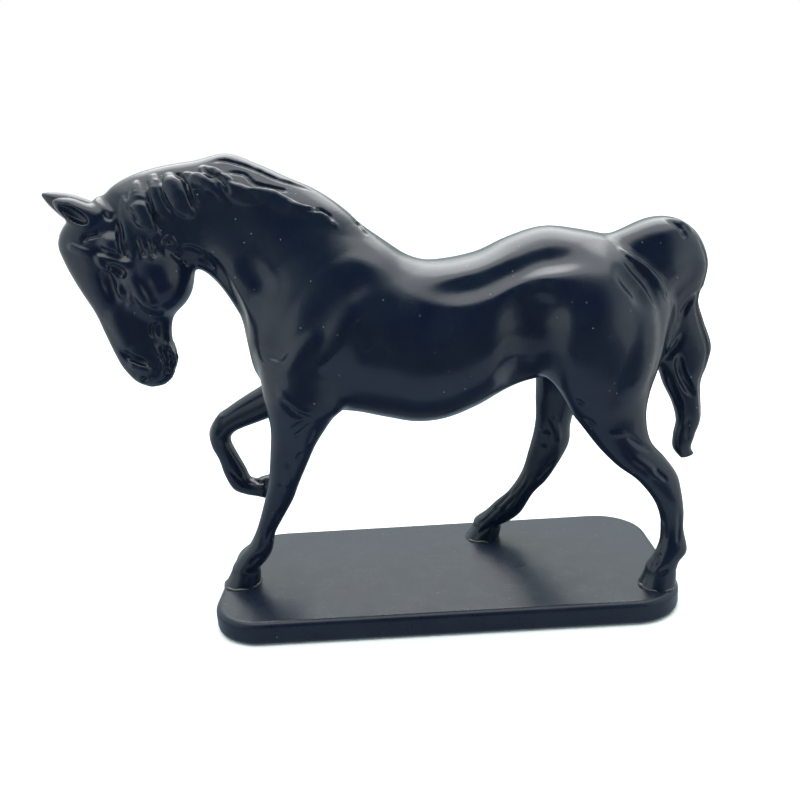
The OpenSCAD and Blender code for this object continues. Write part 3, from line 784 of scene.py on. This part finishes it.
def jade(name, polish, wave_mm, ior):
    """Near-black jade: a faint green and blue mottle, brushed grain, pits and pale specks."""
    material, n = new_material(name)
    place = n.add("ShaderNodeTexCoord").outputs["Object"]
    cloud = n.ramp(n.noise(place, 26, 4, 0.55, 0.6), 0.35, 0.65)
    colour = n.mix(cloud, JADE_DARK, JADE_BLUE)
    vein = n.ramp(n.noise(place, 7, 5, 0.6, 1.4), 0.62, 0.8, 0, 0.6)
    colour = n.mix(vein, colour, JADE_VEIN)
    spots = n.add("ShaderNodeTexVoronoi", {"Vector": place, "Scale": 1000 / 5.5}).outputs["Distance"]
    speck = n.ramp(spots, 0.030, 0.045, 0.5, 0)
    colour = n.mix(speck, colour, JADE_SPECK)
    grain = n.noise(place, 0.6, 3, 0.6)
    brushed = n.add("ShaderNodeMapping", {
        "Vector": place, "Rotation": (0, math.radians(35), 0), "Scale": (0.25, 1, 1)}).outputs[0]
    hair = n.noise(brushed, 0.8, 3, 0.6)
    worn = n.ramp(n.noise(place, 9, 4, 0.6), 0.35, 0.7, -0.03, 0.05)
    rough = n.add("ShaderNodeMath", {0: n.ramp(grain, 0.3, 0.7, polish - 0.03, polish + 0.04), 1: worn},
                  operation="ADD").outputs[0]
    normal = n.bump(n.noise(place, wave_mm, 3, 0.55), 0.35, 0.12)
    normal = n.bump(grain, 0.35, 0.04, normal)
    normal = n.bump(hair, 0.45, 0.05, normal)
    pits = n.add("ShaderNodeTexVoronoi", {"Vector": place, "Scale": 1000 / 3.1}).outputs["Distance"]
    normal = n.bump(n.ramp(pits, 0.03, 0.09), 0.5, 0.08, normal)
    shader = n.add("ShaderNodeBsdfPrincipled", {
        "Base Color": colour, "Roughness": rough, "Normal": normal, "IOR": ior})
    n.add("ShaderNodeOutputMaterial", {"Surface": shader.outputs[0]})
    return material


def adhesive():
    """Clear-setting adhesive with a black tint, glossy and a little uneven."""
    material, n = new_material("adhesive")
    place = n.add("ShaderNodeTexCoord").outputs["Object"]
    colour = n.mix(n.noise(place, 2.0, 4), *RESIN)
    rough = n.ramp(n.noise(place, 1.2, 3), 0.3, 0.7, 0.10, 0.28)
    normal = n.bump(n.noise(place, 1.1, 4, 0.6), 0.5, 0.2)
    shader = n.add("ShaderNodeBsdfPrincipled", {
        "Base Color": colour, "Roughness": rough, "Normal": normal, "IOR": 1.5})
    n.add("ShaderNodeOutputMaterial", {"Surface": shader.outputs[0]})
    return material


def brushed_steel():
    """Drawn steel, with fine lines round the rod."""
    material, n = new_material("rod_steel")
    place = n.add("ShaderNodeTexCoord").outputs["Object"]
    stretched = n.add("ShaderNodeMapping", {"Vector": place, "Scale": (1, 1, 14)}).outputs[0]
    lines = n.noise(stretched, 1.6, 4, 0.6)
    colour = n.mix(lines, *STEEL)
    rough = n.ramp(lines, 0.3, 0.7, 0.26, 0.42)
    shader = n.add("ShaderNodeBsdfPrincipled", {
        "Base Color": colour, "Roughness": rough, "Normal": n.bump(lines, 0.3, 0.02), "Metallic": 1.0})
    n.add("ShaderNodeOutputMaterial", {"Surface": shader.outputs[0]})
    return material


def studio_floor():
    """Plain pale paper."""
    material, n = new_material("studio_floor")
    place = n.add("ShaderNodeTexCoord").outputs["Object"]
    colour = n.mix(n.noise(place, 60, 3), *FLOOR)
    shader = n.add("ShaderNodeBsdfDiffuse", {"Color": colour, "Roughness": 0.5})
    n.add("ShaderNodeOutputMaterial", {"Surface": shader.outputs[0]})
    return material


# ---------------------------------------------------------------- the studio

# Lengths in metres, and light that is linear and may be brighter than 1
CAMERA_AT = Vector((-9.2, -319.75, 174.24)) / 1000
CAMERA_YAW = math.radians(-0.868)
CAMERA_PITCH = math.radians(15.516)
CAMERA_ROLL = math.radians(-3.694)
CARD_HALF = 0.32

ROOM = (0.58, 0.72, 0.71, 1)
ROOM_ABOVE = (3.4, 3.5, 3.45, 1)
ROOM_SIDES = (1.15, 1.27, 1.25, 1)
BACKDROP = (1.0, 1.0, 1.0, 1)
CARD_NAVY = (0.012, 0.014, 0.03, 1)
CARD_ENDS = (0.30, 0.36, 0.40, 1)
SHEEN = (0.34, 0.45, 0.54, 1), (0.41, 0.53, 0.62, 1)
SHEEN_ENDS = (0.95, 1.02, 1.0, 1)


def add_camera():
    """The camera, a little above the horse's near side and turned down to it."""
    data = bpy.data.cameras.new("camera")
    data.lens = 36
    data.sensor_width = 36
    data.clip_start = 0.01
    camera = bpy.data.objects.new("camera", data)
    bpy.context.scene.collection.objects.link(camera)
    bpy.context.scene.camera = camera
    turn = Matrix.Rotation(-CAMERA_YAW, 4, "Z") @ Matrix.Rotation(math.pi / 2 - CAMERA_PITCH, 4, "X")
    camera.matrix_world = Matrix.Translation(CAMERA_AT) @ turn @ Matrix.Rotation(CAMERA_ROLL, 4, "Z")


def add_area_light(name, at, target, size, power):
    """A soft rectangular light at one place that faces another."""
    data = bpy.data.lights.new(name, "AREA")
    data.shape = "RECTANGLE"
    data.size, data.size_y = size
    data.energy = power
    light = bpy.data.objects.new(name, data)
    light.location = at
    light.rotation_euler = (Vector(target) - Vector(at)).to_track_quat("-Z", "Y").to_euler()
    bpy.context.scene.collection.objects.link(light)


def light_world():
    """A pale grey-green room that is brighter above and behind the horse."""
    world = bpy.data.worlds.new("studio")
    bpy.context.scene.world = world
    world.use_nodes = True
    n = Nodes(world.node_tree)
    way = n.add("ShaderNodeTexCoord").outputs["Generated"]

    def towards(direction, low, high):
        unit = Vector(direction).normalized()
        node = n.add("ShaderNodeVectorMath", {0: way, 1: tuple(unit)}, operation="DOT_PRODUCT")
        dot = node.outputs["Value"]
        eased = n.add("ShaderNodeMapRange", {
            "Value": dot, "From Min": math.cos(math.radians(low)), "From Max": math.cos(math.radians(high))},
            interpolation_type="SMOOTHSTEP")
        return eased.outputs["Result"]

    room = n.mix(towards((0, 0.3, 1), 54, 38), ROOM, ROOM_ABOVE)
    for direction in ((1, 0.1, -0.1), (-1, 0.1, -0.1)):
        room = n.mix(towards(direction, 75, 35), room, ROOM_SIDES)
    seen = n.add("ShaderNodeLightPath").outputs["Is Camera Ray"]
    room = n.mix(seen, room, BACKDROP)
    background = n.add("ShaderNodeBackground", {"Color": room, "Strength": 1.0})
    n.add("ShaderNodeOutputWorld", {"Surface": background.outputs[0]})


def add_card(name, colour_at, points, faces):
    """A sheet of even light that only reflections see, whose colour is worked out by colour_at."""
    material, n = new_material(name)
    shader = n.add("ShaderNodeEmission", {"Color": colour_at(n), "Strength": 1.0})
    n.add("ShaderNodeOutputMaterial", {"Surface": shader.outputs[0]})
    me = bpy.data.meshes.new(name)
    me.from_pydata(points, [], faces)
    me.materials.append(material)
    card = bpy.data.objects.new(name, me)
    bpy.context.scene.collection.objects.link(card)
    card.visible_camera = card.visible_diffuse = card.visible_shadow = False
    card.visible_transmission = card.visible_volume_scatter = False


def add_dark_card():
    """The dark front of the room: a sheet that curves up off the floor and pales towards its ends."""
    def colour_at(n):
        place = n.add("ShaderNodeTexCoord").outputs["Object"]
        x = n.add("ShaderNodeSeparateXYZ", {"Vector": place}).outputs["X"]
        left = n.ramp(x, -0.12, -0.28)
        right = n.ramp(x, 0.16, 0.28)
        end = n.add("ShaderNodeMath", {0: left, 1: right}, operation="MAXIMUM").outputs[0]
        return n.mix(end, CARD_NAVY, CARD_ENDS)

    profile = curve([(-0.150, 0.003), (-0.24, 0.012), (-0.345, 0.07), (-0.39, 0.24), (-0.385, 0.56)], 6)
    across = np.linspace(-1, 1, 25)
    points = []
    for i, (y, z) in enumerate(profile):
        end = min(i, len(profile) - 1 - i) / 3
        width = CARD_HALF * min(1, 0.72 + 0.28 * math.sqrt(min(end, 1)))
        points += [(width * u, y, z) for u in across]
    n_across = len(across)
    faces = [(r * n_across + c, r * n_across + c + 1, (r + 1) * n_across + c + 1, (r + 1) * n_across + c)
             for r in range(len(profile) - 1) for c in range(n_across - 1)]
    add_card("dark_card", colour_at, points, faces)


def add_floor_sheen():
    """A dimmer, bluer floor for the stone to reflect."""
    def colour_at(n):
        place = n.add("ShaderNodeTexCoord").outputs["Object"]
        x = n.add("ShaderNodeSeparateXYZ", {"Vector": place}).outputs["X"]
        ends = n.add("ShaderNodeMath", {0: n.ramp(x, 0.05, 0.26), 1: n.ramp(x, -0.18, -0.40)},
                     operation="MAXIMUM").outputs[0]
        middle = n.mix(n.noise(place, 80, 2), *SHEEN)
        return n.mix(ends, middle, SHEEN_ENDS)

    turn = np.linspace(0, 2 * math.pi, 48, endpoint=False)
    points = [(3 * math.cos(t), 3 * math.sin(t), 0.0005) for t in turn]
    add_card("floor_sheen", colour_at, points, [tuple(range(len(points)))])


def add_floor():
    """The pale floor that the plinth stands on."""
    bpy.ops.mesh.primitive_circle_add(vertices=96, radius=4, fill_type="NGON", location=(0, 0, 0))
    floor = bpy.context.object
    floor.name = "studio_floor"
    floor.data.materials.append(studio_floor())


# ---------------------------------------------------------------- putting it together

def dress(node, material):
    """Gives a carried-over CAD node its finish."""
    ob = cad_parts[node]
    ob.data.materials.clear()
    ob.data.materials.append(material)


bpy.context.scene.view_settings.view_transform = "Standard"
add_camera()
light_world()
add_area_light("overhead", (0.0, 0.35, 0.75), (0, 0, 0.1), (0.9, 0.5), 4)
add_dark_card()
add_floor_sheen()
add_floor()

stone = jade("horse_jade", *HORSE_FINISH)
slab = jade("plinth_jade", *PLINTH_FINISH)
for piece, node in zip(sculpt(), ("horse_body", "raised_foreleg", "tail")):
    piece.data.materials.append(stone)
    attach(piece, "root")
    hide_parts(node)
dress("plinth", slab)
beads = build_beads()
beads.data.materials.append(adhesive())
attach(beads, "root")
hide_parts("hoof_beads")
steel = brushed_steel()
for node in ("near_fore_rod", "near_hind_rod", "off_hind_rod", "foreleg_dowel", "tail_dowel"):
    dress(node, steel)
